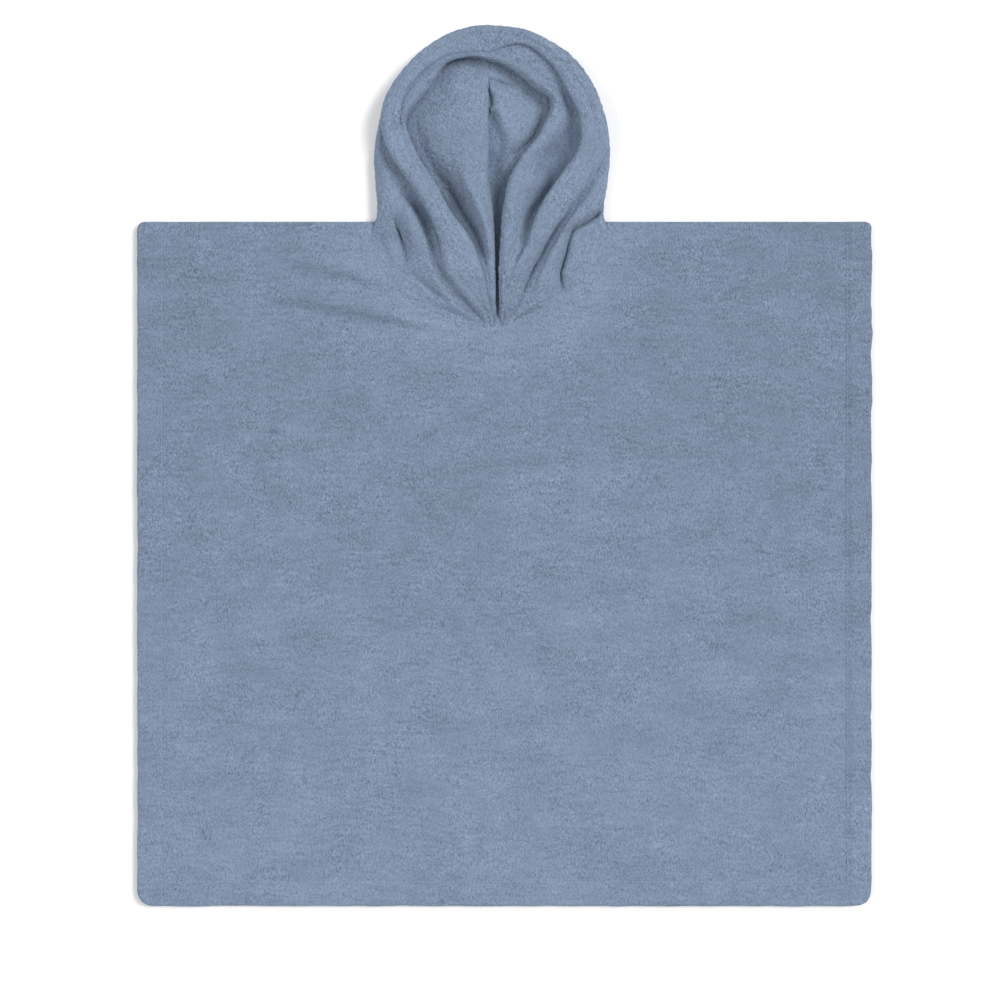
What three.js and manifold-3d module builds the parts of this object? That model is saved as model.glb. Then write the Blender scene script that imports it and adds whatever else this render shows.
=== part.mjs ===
// Hooded bath poncho of terry cloth, laid flat on its back with the hood opened upwards.
// Millimetres. +X to the right, +Y towards the hood, +Z up. z = 0 is the surface it lies on.

import * as THREE from "three";
import { mergeVertices } from "three/addons/utils/BufferGeometryUtils.js";
import Module from "manifold-3d";

const wasm = await Module();
wasm.setup();

// Body
const BODY_WIDTH = 600;
const BODY_LENGTH = 559;
const HOOD_RISE = 159;
const CORNER_RADIUS = 13;
const CLOTH = 2.6;
const HEM_WIDTH = 20;
const HEM_CLOTH = 3.4;
const HEM_LAP = 2;
const SEAM_GAP = 0.3;
const BODY_BOTTOM = -(BODY_LENGTH + HOOD_RISE) / 2;
const SHOULDER = BODY_BOTTOM + BODY_LENGTH;
const FRONT_LEVEL = CLOTH + SEAM_GAP;
const FRONT_HEM_LEVEL = HEM_CLOTH + SEAM_GAP;
const FRONT_TOP = FRONT_LEVEL + CLOTH;

// Neck: half an ellipse cut down into the front panel
const NECK_X = -12;
const NECK_Y = 190;
const NECK_HALF_WIDTH = 93;
const NECK_DEPTH = 73;

// Hood: outline as a rounded dome above the shoulders
const DOME_X = -10;
const DOME_Y = 246;
const DOME_HALF_WIDTH = 96.3;
const DOME_HEIGHT = 113;
const DOME_POWER = 2.06;
const SIDE_PINCH = 0.1;

// Hood: how the cloth turns at its edges
const HEM_DROP = 4;
const HEM_DROP_SHARE = 0.7;
const HEM_STEP = 1.2;
const NARROWEST = 0.5;
const HEM_UNDERCUT = 3.5;
const ROLL_ROUND = 4.5;
const ROLL_THICKNESS = 8;
const ROLL_SHARE = 0.55;
const HOLLOW_RUN = 12;
const FOOT_TUCK = 2;
const SIDE_SHARE = 0.45;
const CENTRE_X = -14;
const ROW_STEPS = 3;
const SPAN_STEPS = 2;

const TERRY = { color: 0x8090a7, roughness: 0.95, metalness: 0 };

// Hood sections, one row each, from the front of the neck up and round to the crown.
// x, y: where the section starts at the middle of the hood; turn: its direction in degrees.
// Each pair is a distance out along the section and a height:
// fold and dip lie inside the hood, tip is the rolled edge round the opening, strip is the cloth
// between the roll and the hem, band is the hem (inner border, outer border, height),
// crease and wall are the trough and the ridge outside the hem.
const LEFT_ROWS = [
  { y: 119, x: -6.0, turn: 180, core: 6, fold: [1, 6.5], dip: [2, 6.2], tip: [3, 8],
    strip: [4.5, 8], band: [6, 11, 9.5], crease: [14, 7], wall: [18, 7] },
  { y: 134, x: -7.0, turn: 180, core: 9, fold: [1.5, 11], dip: [3, 9], tip: [5, 14],
    strip: [8, 14], band: [10, 22, 16], crease: [30, 9], wall: [38, 11] },
  { y: 158, x: -7.5, turn: 180, core: 14, fold: [2.5, 17], dip: [5, 12], tip: [7.5, 20],
    strip: [12, 21], band: [15, 33, 24], crease: [45, 9], wall: [53, 15] },
  { y: 184, x: -8.2, turn: 180, core: 16, fold: [4.5, 20], dip: [11, 10], tip: [16, 24],
    strip: [22, 25], band: [27, 44.5, 28], crease: [52, 9], wall: [60, 18] },
  { y: 207, x: -9.6, turn: 180, core: 12, fold: [9.5, 20], dip: [22, 8], tip: [29, 26],
    strip: [33, 26], band: [36, 53.5, 29], crease: [59, 8], wall: [67, 20] },
  { y: 230, x: -13.4, turn: 180, core: 12, fold: [16, 16], dip: [33, 7], tip: [40.5, 25],
    strip: [43.5, 25], band: [46, 62, 28], crease: [70, 11], wall: [79, 17] },
  { y: 250, x: CENTRE_X, turn: 175, core: 12, fold: [20, 13], dip: [46, 6], tip: [54, 22],
    strip: [58.5, 22], band: [63, 80, 26], crease: [85, 12], wall: [88, 12] },
  { y: 262, x: CENTRE_X, turn: 163, core: 12, fold: [22, 12], dip: [58, 6], tip: [69, 20],
    strip: [72.5, 20], band: [76, 90.5, 24], crease: [88, 11], wall: [89.5, 8] },
  { y: 274, x: CENTRE_X, turn: 147, core: 12, fold: [20, 12], dip: [48, 6], tip: [58.5, 19],
    strip: [66, 18.5], band: [72, 84, 23], crease: [81.5, 10], wall: [83, 7] },
  { y: 288, x: CENTRE_X, turn: 128, core: 12, fold: [16, 12], dip: [42, 6], tip: [51, 18],
    strip: [53.5, 18], band: [57, 71, 21], crease: [68.5, 9], wall: [70, 6.5] },
  { y: 304, x: CENTRE_X, turn: 108, core: 11, fold: [9, 11], dip: [24, 6], tip: [31, 17.5],
    strip: [33, 18], band: [36, 55, 20.5], crease: [52.5, 9], wall: [54, 6.5] },
  { y: 316, x: CENTRE_X, turn: 90, core: 9, fold: [4, 9], dip: [10, 7], tip: [15, 17],
    strip: [17.5, 18], band: [21, 42.5, 20], crease: [40, 9], wall: [41.5, 6.5] },
];
const RIGHT_ROWS = [
  { y: 119, x: -6.0, turn: 0, core: 6, fold: [0.9, 6], dip: [1.8, 6], tip: [2.6, 8],
    strip: [4, 7.5], band: [5, 8.5, 9], crease: [10.5, 7], wall: [12.5, 6.8] },
  { y: 134, x: -7.0, turn: 0, core: 6, fold: [1, 6.2], dip: [2, 6.2], tip: [3, 14],
    strip: [6.5, 11], band: [8, 18, 16], crease: [21, 11], wall: [30, 13] },
  { y: 158, x: -7.5, turn: 0, core: 6, fold: [1, 6.2], dip: [2, 6.2], tip: [3, 20],
    strip: [12.8, 12], band: [16.3, 29.3, 23], crease: [31.5, 15], wall: [40, 18] },
  { y: 184, x: -8.2, turn: 0, core: 6, fold: [1.5, 6.2], dip: [3, 6.2], tip: [4.8, 24],
    strip: [22.3, 10], band: [27.5, 44, 27], crease: [46.5, 17], wall: [54, 21] },
  { y: 207, x: -9.6, turn: 0, core: 6, fold: [2.5, 6], dip: [5, 6], tip: [7.4, 25],
    strip: [30.5, 8], band: [38.5, 59, 28], crease: [61.5, 17], wall: [69, 20] },
  { y: 230, x: -13.4, turn: 0, core: 4, fold: [6, 5], dip: [12, 5], tip: [16.4, 25],
    strip: [50, 8], band: [57.5, 79, 27], crease: [82, 15], wall: [88, 15] },
  { y: 245, x: CENTRE_X, turn: 8, core: 4, fold: [12, 7], dip: [22, 6], tip: [28.8, 23],
    strip: [63, 9], band: [78, 97, 25], crease: [95.5, 12], wall: [97, 9] },
  { y: 258, x: CENTRE_X, turn: 18, core: 4, fold: [20, 11], dip: [39, 7], tip: [46, 21],
    strip: [71, 13], band: [80, 97, 25], crease: [94.5, 11], wall: [96, 8] },
  { y: 270, x: CENTRE_X, turn: 27, core: 5, fold: [17, 12], dip: [49, 7], tip: [58.5, 20],
    strip: [69, 15], band: [75, 92, 24], crease: [89.5, 10], wall: [91, 7.5] },
  { y: 276, x: CENTRE_X, turn: 42, core: 5, fold: [15, 12], dip: [41, 7], tip: [49.5, 19],
    strip: [64, 15.5], band: [72, 86, 23], crease: [83.5, 10], wall: [85, 7] },
  { y: 290, x: CENTRE_X, turn: 62, core: 6, fold: [13, 11], dip: [31, 7], tip: [39, 18],
    strip: [52, 16.5], band: [60, 71.5, 22], crease: [69, 9], wall: [70.5, 6.5] },
  { y: 316, x: CENTRE_X, turn: 90, core: 7, fold: [4, 8], dip: [10, 7], tip: [15, 17],
    strip: [19, 17], band: [25, 42.5, 20], crease: [40, 9], wall: [41.5, 6.5] },
];

function toSolid(geometry) {
  const bare = geometry.clone();
  bare.deleteAttribute("normal");
  bare.deleteAttribute("uv");
  const merged = mergeVertices(bare, 1e-4);
  const mesh = new wasm.Mesh({
    numProp: 3,
    vertProperties: new Float32Array(merged.attributes.position.array),
    triVerts: new Uint32Array(merged.index.array),
  });
  return new wasm.Manifold(mesh);
}

function toGeometry(solid) {
  const mesh = solid.getMesh();
  const geometry = new THREE.BufferGeometry();
  geometry.setAttribute("position", new THREE.BufferAttribute(mesh.vertProperties, 3));
  geometry.setIndex(new THREE.BufferAttribute(mesh.triVerts, 1));
  geometry.computeVertexNormals();
  return geometry;
}

function plate(shape, bottom, thickness) {
  const settings = { depth: thickness, bevelEnabled: false, curveSegments: 24 };
  const geometry = new THREE.ExtrudeGeometry(shape, settings);
  geometry.translate(0, 0, bottom);
  return toSolid(geometry);
}

// Body outline between the shoulders and the bottom, with rounded corners
function bodyShape() {
  const side = BODY_WIDTH / 2;
  const r = CORNER_RADIUS;
  const shape = new THREE.Shape();
  shape.moveTo(-side + r, BODY_BOTTOM);
  shape.lineTo(side - r, BODY_BOTTOM);
  shape.absarc(side - r, BODY_BOTTOM + r, r, -Math.PI / 2, 0);
  shape.lineTo(side, SHOULDER - r / 2);
  shape.absarc(side - r / 2, SHOULDER - r / 2, r / 2, 0, Math.PI / 2);
  shape.lineTo(-side + r / 2, SHOULDER);
  shape.absarc(-side + r / 2, SHOULDER - r / 2, r / 2, Math.PI / 2, Math.PI);
  shape.lineTo(-side, BODY_BOTTOM + r);
  shape.absarc(-side + r, BODY_BOTTOM + r, r, Math.PI, Math.PI * 1.5);
  return shape;
}

// What lies inside the hems of the two sides and the bottom, open at the shoulders
function insideHems(inset) {
  const side = BODY_WIDTH / 2 - HEM_WIDTH - inset;
  const bottom = BODY_BOTTOM + HEM_WIDTH + inset;
  const shape = new THREE.Shape();
  shape.moveTo(-side, bottom);
  shape.lineTo(side, bottom);
  shape.lineTo(side, SHOULDER + HEM_WIDTH);
  shape.lineTo(-side, SHOULDER + HEM_WIDTH);
  return plate(shape, -1, FRONT_HEM_LEVEL + HEM_CLOTH + 2);
}

// Neck hole of the front, drawn on past the shoulders; inset makes it smaller
function neckShape(inset) {
  const shape = new THREE.Shape();
  const half = NECK_HALF_WIDTH - inset;
  shape.moveTo(NECK_X - half, SHOULDER + HOOD_RISE);
  shape.lineTo(NECK_X - half, NECK_Y);
  shape.absellipse(NECK_X, NECK_Y, half, NECK_DEPTH - inset, Math.PI, 2 * Math.PI);
  shape.lineTo(NECK_X + half, SHOULDER + HOOD_RISE);
  return shape;
}

// One layer of cloth with its folded hems; the middle lies at its own level between them.
// The insets say where the middle ends and where the hem begins, and they overlap.
function panel(level, hemLevel, middleInset, hemInset) {
  const middle = plate(bodyShape(), level, CLOTH).intersect(insideHems(middleInset));
  const hem = plate(bodyShape(), hemLevel, HEM_CLOTH).subtract(insideHems(hemInset));
  return middle.add(hem);
}

// Half width of the hood's outline at a height y above the shoulders
function outlineHalfWidth(y) {
  if (y < DOME_Y) {
    const below = Math.min(DOME_Y - y, DOME_Y - SHOULDER);
    return DOME_HALF_WIDTH - SIDE_PINCH * below;
  }
  const share = Math.min((y - DOME_Y) / DOME_HEIGHT, 1);
  return DOME_HALF_WIDTH * (1 - share ** DOME_POWER) ** (1 / DOME_POWER);
}

function insideOutline(x, y) {
  if (y > SHOULDER) {
    return y < DOME_Y + DOME_HEIGHT && Math.abs(x - DOME_X) < outlineHalfWidth(y);
  }
  const across = (x - NECK_X) / (NECK_HALF_WIDTH - SEAM_GAP);
  const down = Math.min(y - NECK_Y, 0) / (NECK_DEPTH - SEAM_GAP);
  return across * across + down * down < 1;
}

// How far a section runs before it leaves the outline
function reachOf(row, along) {
  let near = 0;
  let far = DOME_HALF_WIDTH * 2;
  for (let step = 0; step < 24; step++) {
    const middle = (near + far) / 2;
    const x = row.x + along.x * middle;
    const y = row.y + along.y * middle;
    if (insideOutline(x, y)) near = middle;
    else far = middle;
  }
  return near;
}

// Points of one section: along the cloth from its foot, over the hem and the roll,
// back under the roll and over the inside of the hood to the middle.
function sectionPoints(row, side) {
  const angle = THREE.MathUtils.degToRad(row.turn);
  const along = new THREE.Vector2(Math.cos(angle), Math.sin(angle));
  const reach = reachOf(row, along);
  const onNeck = row.y < SHOULDER;
  const [bandIn, bandOut, bandUp] = row.band;
  const [tipOut, tipUp] = row.tip;
  const [creaseOut, creaseUp] = row.crease;
  const [wallOut, wallUp] = row.wall;
  const [dipOut, dipUp] = row.dip;
  const edge = Math.min(bandOut, reach);
  const wallAt = Math.min(wallOut, reach - NARROWEST);
  const creaseAt = Math.min(creaseOut, wallAt - NARROWEST);
  const drop = Math.min(HEM_DROP, HEM_DROP_SHARE * (bandUp - creaseUp));
  const undercut = Math.min(HEM_UNDERCUT, (edge - bandIn) / 3);
  const roll = Math.min(ROLL_THICKNESS, ROLL_SHARE * (tipUp - dipUp));
  const round = Math.min(ROLL_ROUND, (row.strip[0] - tipOut) / 2);
  const hollow = Math.min(HOLLOW_RUN, (bandIn + edge) / 2 - tipOut);
  const under = tipUp - roll;
  const profile = [
    [reach - (onNeck ? 0 : FOOT_TUCK), 0],
    [reach, onNeck ? FRONT_TOP : wallUp * SIDE_SHARE],
    [wallAt, wallUp],
    [creaseAt, creaseUp],
    [Math.min(edge - undercut, creaseAt - NARROWEST), (creaseUp + bandUp - drop) / 2],
    [edge, bandUp - drop],
    [edge - (edge - bandIn) / 3, bandUp],
    [bandIn, bandUp - HEM_STEP],
    row.strip,
    [tipOut + round, tipUp],
    [tipOut, tipUp - roll / 2],
    [tipOut + roll / 2, under],
    [tipOut + hollow, (under + dipUp) / 2],
    [(dipOut + tipOut) / 2, dipUp],
    row.dip,
    row.fold,
    [NARROWEST, row.core],
    [0, 0],
  ];
  const shift = side * SEAM_GAP / 2;
  return profile.map(([out, up]) => new THREE.Vector3(
    row.x + shift + along.x * out,
    row.y + along.y * out,
    up,
  ));
}

// Smooth curves through the same point of every row
function fillRows(rows) {
  const curves = rows[0].map((_, column) => {
    const points = rows.map((row) => row[column]);
    return new THREE.CatmullRomCurve3(points, false, "catmullrom", 0.5);
  });
  const count = (rows.length - 1) * ROW_STEPS;
  return Array.from({ length: count + 1 }, (_, i) => curves.map((curve) => curve.getPoint(i / count)));
}

// Smooth curve along one section; its last span, along the surface, stays straight
function fillSection(points) {
  const curve = new THREE.CatmullRomCurve3(points.slice(0, -1), false, "centripetal");
  const count = (points.length - 2) * SPAN_STEPS;
  const filled = Array.from({ length: count + 1 }, (_, i) => curve.getPoint(i / count));
  filled.push(points[points.length - 1]);
  return filled;
}

// Closed solid through sections that are closed loops, each with the same number of points
function loftSections(sections, mirrored) {
  const ring = sections[0].length;
  const positions = sections.flat().flatMap((point) => [point.x, point.y, Math.max(point.z, 0)]);
  const index = [];
  const face = (a, b, c) => (mirrored ? index.push(a, c, b) : index.push(a, b, c));
  for (let i = 0; i + 1 < sections.length; i++) {
    for (let j = 0; j < ring; j++) {
      const a = i * ring + j;
      const b = i * ring + (j + 1) % ring;
      face(a, a + ring, b);
      face(b, a + ring, b + ring);
    }
  }
  const cap = (section, start, flip) => {
    const origin = section[ring - 1];
    const flat = section.map((point) => new THREE.Vector2(
      Math.hypot(point.x - origin.x, point.y - origin.y),
      point.z,
    ));
    for (const [a, b, c] of THREE.ShapeUtils.triangulateShape(flat, [])) {
      if (flip) face(start + a, start + c, start + b);
      else face(start + a, start + b, start + c);
    }
  };
  cap(sections[0], 0, false);
  cap(sections[sections.length - 1], (sections.length - 1) * ring, true);
  const geometry = new THREE.BufferGeometry();
  geometry.setAttribute("position", new THREE.Float32BufferAttribute(positions, 3));
  geometry.setIndex(index);
  return geometry;
}

// Room that the panels take, grown by the seam gap
const bodyRoom = new THREE.Shape();
bodyRoom.moveTo(-BODY_WIDTH, BODY_BOTTOM);
bodyRoom.lineTo(BODY_WIDTH, BODY_BOTTOM);
bodyRoom.lineTo(BODY_WIDTH, SHOULDER + SEAM_GAP);
bodyRoom.lineTo(-BODY_WIDTH, SHOULDER + SEAM_GAP);
const backRoom = plate(bodyRoom, -1, CLOTH + SEAM_GAP + 1);
const frontRoom = plate(bodyRoom, -1, FRONT_TOP + SEAM_GAP + 1).subtract(
  plate(neckShape(SEAM_GAP), -2, FRONT_TOP + SEAM_GAP + 4),
);

function hoodHalf(rows, side) {
  const sections = fillRows(rows.map((row) => sectionPoints(row, side))).map(fillSection);
  const half = toSolid(loftSections(sections, side < 0));
  return half.subtract(backRoom).subtract(frontRoom);
}

const neckHole = plate(neckShape(0), -1, FRONT_TOP + 3);
const solids = {
  back_panel: panel(0, 0, -HEM_LAP, 0),
  front_panel: panel(FRONT_LEVEL, FRONT_HEM_LEVEL, SEAM_GAP, HEM_LAP).subtract(neckHole),
  hood_left: hoodHalf(LEFT_ROWS, -1),
  hood_right: hoodHalf(RIGHT_ROWS, 1),
};

const poncho = new THREE.Group();
for (const [name, solid] of Object.entries(solids)) {
  const mesh = new THREE.Mesh(toGeometry(solid), new THREE.MeshStandardMaterial(TERRY));
  mesh.name = name;
  poncho.add(mesh);
}

export default poncho;
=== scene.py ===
import math

import bpy
import numpy as np
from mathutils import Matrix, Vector, bvhtree, noise


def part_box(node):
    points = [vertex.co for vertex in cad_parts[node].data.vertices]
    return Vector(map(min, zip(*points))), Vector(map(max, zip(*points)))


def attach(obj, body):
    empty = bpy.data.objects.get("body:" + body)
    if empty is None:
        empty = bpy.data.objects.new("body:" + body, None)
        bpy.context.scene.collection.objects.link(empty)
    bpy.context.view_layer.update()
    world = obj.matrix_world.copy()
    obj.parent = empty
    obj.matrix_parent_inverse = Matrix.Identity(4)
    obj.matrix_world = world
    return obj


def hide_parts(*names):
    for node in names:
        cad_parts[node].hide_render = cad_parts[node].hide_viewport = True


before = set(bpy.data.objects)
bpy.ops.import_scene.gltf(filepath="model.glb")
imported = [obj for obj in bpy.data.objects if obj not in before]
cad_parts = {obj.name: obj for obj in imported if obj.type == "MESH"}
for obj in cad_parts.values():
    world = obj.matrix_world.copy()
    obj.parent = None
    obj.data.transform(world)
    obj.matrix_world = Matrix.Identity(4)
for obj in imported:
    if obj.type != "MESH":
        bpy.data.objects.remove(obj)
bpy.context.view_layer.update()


# ---- Back panel -------------------------------------------------------------------------
# The back is one rectangle of cotton terry, knitted with loops on both faces. Its two sides
# and its bottom are turned in as 20 mm hems. It lies on the surface and carries the rest.

MM = 0.001
CLOTH = 2.6 * MM
HEM_CLOTH = 3.4 * MM
HEM_WIDTH = 20 * MM
BOTTOM_RADIUS = 13 * MM
SHOULDER_RADIUS = 6 * MM
BACK_STEP = 7 * MM
back_low, back_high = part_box("back_panel")
LEFT_SIDE, RIGHT_SIDE = back_low.x, back_high.x
BOTTOM, SHOULDER = back_low.y, back_high.y
DUSTY_BLUE = (0.157, 0.204, 0.284, 1.0)
SHEEN_TINT = (0.78, 0.86, 1.0, 1.0)
# Sizes in the pile: the sweep and curl of its lean and how far each bends it, its strokes,
# loops and fibres, the rows of the knit, and the patches, clouds and streaks of tone
LEAN_SWEEP, SWEEP_BEND = 26 * MM, 13 * MM
LEAN_CURL, CURL_BEND = 5 * MM, 1.2 * MM
STROKE_SIZE = 0.92 * MM
LOOP_SIZE = 1.4 * MM
FIBRE_SIZE = 0.5 * MM
KNIT_ROW = 3 * MM
PATCH_SIZE = 30 * MM
CLOUD_SIZE = 48 * MM
STREAK_SIZE = 30 * MM
# Height of the pile, without a unit, at which its tone is the dye's own; below it the pits carry
# painted shade and above it the loop tops carry painted light
MIDDLE_PILE = 0.66
# How much painted shade darkens the body at its bottom and at its shoulders, and the round place round
# the hood that it leaves out
BOTTOM_PAINTED_SHADE, SHOULDER_PAINTED_SHADE = 0.035, 0.125
SHADE_FROM, SHADE_TO = -300 * MM, 100 * MM
HOOD_MIDDLE = (-12 * MM, 215 * MM, 0)
HOOD_FROM, HOOD_TO = 95 * MM, 180 * MM


def terry_pile():
    """Node group: short cotton loops with their tones and their height, from a place on the cloth; the
    tones carry painted shade in the pits, painted light on the loop tops and painted shade up the body.
    Pile is how strongly the painted shade and light of the loops show, and Mottle how cloudy the cloth
    is."""
    group = bpy.data.node_groups.new("terry_pile", "ShaderNodeTree")
    for name, way, kind in (("Place", "INPUT", "Vector"), ("Cloth", "INPUT", "Vector"),
                            ("Dye", "INPUT", "Color"), ("Pile", "INPUT", "Float"),
                            ("Mottle", "INPUT", "Float"), ("Color", "OUTPUT", "Color"),
                            ("Height", "OUTPUT", "Float")):
        group.interface.new_socket(name, in_out=way, socket_type="NodeSocket" + kind)
    nodes, links = group.nodes, group.links
    given = nodes.new("NodeGroupInput").outputs
    out = nodes.new("NodeGroupOutput").inputs

    def maths(operation, *values):
        node = nodes.new("ShaderNodeMath")
        node.operation = operation
        for socket, value in zip(node.inputs, values):
            if isinstance(value, (int, float)):
                socket.default_value = value
            else:
                links.new(value, socket)
        return node.outputs[0]

    def scaled(vector, scale):
        node = nodes.new("ShaderNodeMapping")
        node.inputs["Scale"].default_value = scale
        links.new(vector, node.inputs["Vector"])
        return node.outputs[0]

    def noise_node(vector, size, detail, scale=(1, 1, 1), kind="Fac"):
        node = nodes.new("ShaderNodeTexNoise")
        node.inputs["Scale"].default_value = 1 / size
        node.inputs["Detail"].default_value = detail
        node.inputs["Roughness"].default_value = 0.6
        links.new(scaled(vector, scale), node.inputs["Vector"])
        return node.outputs[kind]

    def pushed(vector, by, amount):
        node = nodes.new("ShaderNodeVectorMath")
        node.operation = "MULTIPLY_ADD"
        links.new(by, node.inputs[0])
        node.inputs[1].default_value = (amount, amount, amount)
        links.new(vector, node.inputs[2])
        return node.outputs[0]

    def eased(value, start, end, low, high):
        node = nodes.new("ShaderNodeMapRange")
        node.interpolation_type = "SMOOTHSTEP"
        for name, number in (("From Min", start), ("From Max", end), ("To Min", low),
                             ("To Max", high)):
            node.inputs[name].default_value = number
        links.new(value, node.inputs["Value"])
        return node.outputs["Result"]

    # The loops lie in short strokes along the cloth, and their lean wanders over the cloth
    place = given["Place"]
    leaning = pushed(place, noise_node(place, LEAN_SWEEP, 1, kind="Color"), SWEEP_BEND)
    leaning = pushed(leaning, noise_node(place, LEAN_CURL, 1, kind="Color"), CURL_BEND)
    strokes = noise_node(leaning, STROKE_SIZE, 1.5, (1, 0.46, 1))
    fibres = noise_node(leaning, FIBRE_SIZE, 1, (1, 0.6, 1))
    cells = nodes.new("ShaderNodeTexVoronoi")
    cells.feature = "SMOOTH_F1"
    cells.inputs["Scale"].default_value = 1 / LOOP_SIZE
    cells.inputs["Smoothness"].default_value = 0.5
    links.new(scaled(leaning, (1, 0.6, 1)), cells.inputs["Vector"])
    knit_rows = noise_node(given["Cloth"], KNIT_ROW, 0, (0.25, 1, 1))
    height = maths("MULTIPLY_ADD", strokes, 1.15, maths("MULTIPLY", fibres, 0.3))
    height = maths("MULTIPLY_ADD", cells.outputs["Distance"], -0.35, height)
    height = maths("MULTIPLY_ADD", knit_rows, 0.25, height)
    links.new(height, out["Height"])

    # Tones: painted shade in the pits between loops and painted light on their tops, stronger in some
    # patches; clouds where the pile lies flat
    patch = noise_node(place, PATCH_SIZE, 2)
    loop_shading_strength = maths("MULTIPLY", given["Pile"], maths("MULTIPLY_ADD", patch, 1.8, 0.1))
    # Painted shade in the pits and painted light on the loop tops, from the pile's height
    painted_loop_shading = maths("MULTIPLY", maths("SUBTRACT", height, MIDDLE_PILE), loop_shading_strength)
    clouds = noise_node(place, CLOUD_SIZE, 4)
    streaks = noise_node(place, STREAK_SIZE, 3, (0.45, 1.8, 1))
    cloudy = maths("SUBTRACT", maths("ADD", clouds, streaks), 1.0)
    tone = maths("ADD", painted_loop_shading, maths("MULTIPLY", cloudy, given["Mottle"]))
    tone = maths("ADD", tone, 1.0)

    # Painted shade: the body is darker, the more so towards the shoulders where less light falls, but
    # not round the hood
    parts = nodes.new("ShaderNodeSeparateXYZ")
    links.new(place, parts.inputs[0])
    from_hood = nodes.new("ShaderNodeVectorMath")
    from_hood.operation = "DISTANCE"
    flat_place = nodes.new("ShaderNodeCombineXYZ")
    links.new(parts.outputs["X"], flat_place.inputs["X"])
    links.new(parts.outputs["Y"], flat_place.inputs["Y"])
    links.new(flat_place.outputs[0], from_hood.inputs[0])
    from_hood.inputs[1].default_value = HOOD_MIDDLE
    shade_up_the_body = eased(parts.outputs["Y"], SHADE_FROM, SHADE_TO, BOTTOM_PAINTED_SHADE, SHOULDER_PAINTED_SHADE)
    painted_body_shade = maths("MULTIPLY", shade_up_the_body,
                    eased(from_hood.outputs["Value"], HOOD_FROM, HOOD_TO, 0, 1))
    # The painted shade is taken off the tone here
    tone = maths("SUBTRACT", tone, painted_body_shade)
    shade = nodes.new("ShaderNodeVectorMath")
    shade.operation = "SCALE"
    links.new(given["Dye"], shade.inputs[0])
    links.new(tone, shade.inputs["Scale"])
    links.new(shade.outputs[0], out["Color"])
    return group


TERRY_PILE = terry_pile()


def terry_material(name, pile, mottle):
    """Terry cloth: the pile group gives its tones and its bump; sheen is the light in the fibres."""
    material = bpy.data.materials.new(name)
    material.use_nodes = True
    nodes, links = material.node_tree.nodes, material.node_tree.links
    surface = nodes["Principled BSDF"]
    for socket, value in (("Roughness", 0.95), ("Specular IOR Level", 0.12), ("Sheen Weight", 0.22),
                          ("Sheen Roughness", 0.5), ("Sheen Tint", SHEEN_TINT)):
        surface.inputs[socket].default_value = value
    loops = nodes.new("ShaderNodeGroup")
    loops.node_tree = TERRY_PILE
    for socket, value in (("Dye", DUSTY_BLUE), ("Pile", pile), ("Mottle", mottle)):
        loops.inputs[socket].default_value = value
    cloth = nodes.new("ShaderNodeUVMap")
    cloth.uv_map = "cloth"
    place = nodes.new("ShaderNodeTexCoord")
    links.new(cloth.outputs["UV"], loops.inputs["Cloth"])
    links.new(place.outputs["Object"], loops.inputs["Place"])
    bump = nodes.new("ShaderNodeBump")
    bump.inputs["Strength"].default_value = 0.8
    bump.inputs["Distance"].default_value = 0.7 * MM
    links.new(loops.outputs["Height"], bump.inputs["Height"])
    links.new(bump.outputs["Normal"], surface.inputs["Normal"])
    links.new(loops.outputs["Color"], surface.inputs["Base Color"])
    return material


body_terry = terry_material("body_terry", pile=0.93, mottle=0.3)


def swells(points, size, seed):
    """Smooth noise from -1 to 1 at each point, with swells of about the given size."""
    shift = Vector((seed * 7.3, seed * 3.1, seed * 5.7))
    values = [noise.noise(Vector(point) / size + shift) for point in points.reshape(-1, 3)]
    return np.array(values).reshape(points.shape[:-1])


def closed_cloth(name, top, under, cloth, material):
    """A layer of cloth: its two faces, given as grids of points, closed by a rim all round.
    cloth holds each point's place on the flat cloth."""
    rows, columns = top.shape[:2]
    index = np.arange(rows * columns).reshape(rows, columns)
    quads = []
    for face, turned in ((index, False), (index + rows * columns, True)):
        a, b, c, d = face[:-1, :-1], face[:-1, 1:], face[1:, 1:], face[1:, :-1]
        order = (a, d, c, b) if turned else (a, b, c, d)
        quads.append(np.stack([corner.ravel() for corner in order], axis=1))
    loop = np.concatenate([index[0, :-1], index[:-1, -1], index[-1, :0:-1], index[:0:-1, 0]])
    after = np.roll(loop, -1)
    quads.append(np.stack([after, loop, loop + rows * columns, after + rows * columns], axis=1))
    faces = np.concatenate(quads)
    points = np.concatenate([top.reshape(-1, 3), under.reshape(-1, 3)])
    places = np.concatenate([cloth.reshape(-1, 2), cloth.reshape(-1, 2)])
    mesh = bpy.data.meshes.new(name)
    mesh.from_pydata(points.tolist(), [], faces.tolist())
    layer = mesh.uv_layers.new(name="cloth")
    layer.data.foreach_set("uv", places[faces.ravel()].ravel())
    mesh.materials.append(material)
    mesh.shade_smooth()
    mesh.set_sharp_from_angle(angle=math.radians(70))
    piece = bpy.data.objects.new(name, mesh)
    bpy.context.scene.collection.objects.link(piece)
    return piece


RIM = 1.6 * MM
INSIDE_RIM = 2.6 * MM


def stops(low, high, step):
    """Places across a panel, close together at its two edges, where it rounds over."""
    rim = np.array([0, 0.12, 0.45, 0.95, 1.6]) * MM
    inner = np.linspace(low + INSIDE_RIM, high - INSIDE_RIM, round((high - low) / step))
    return np.concatenate([low + rim, inner, high - rim[::-1]])


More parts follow.
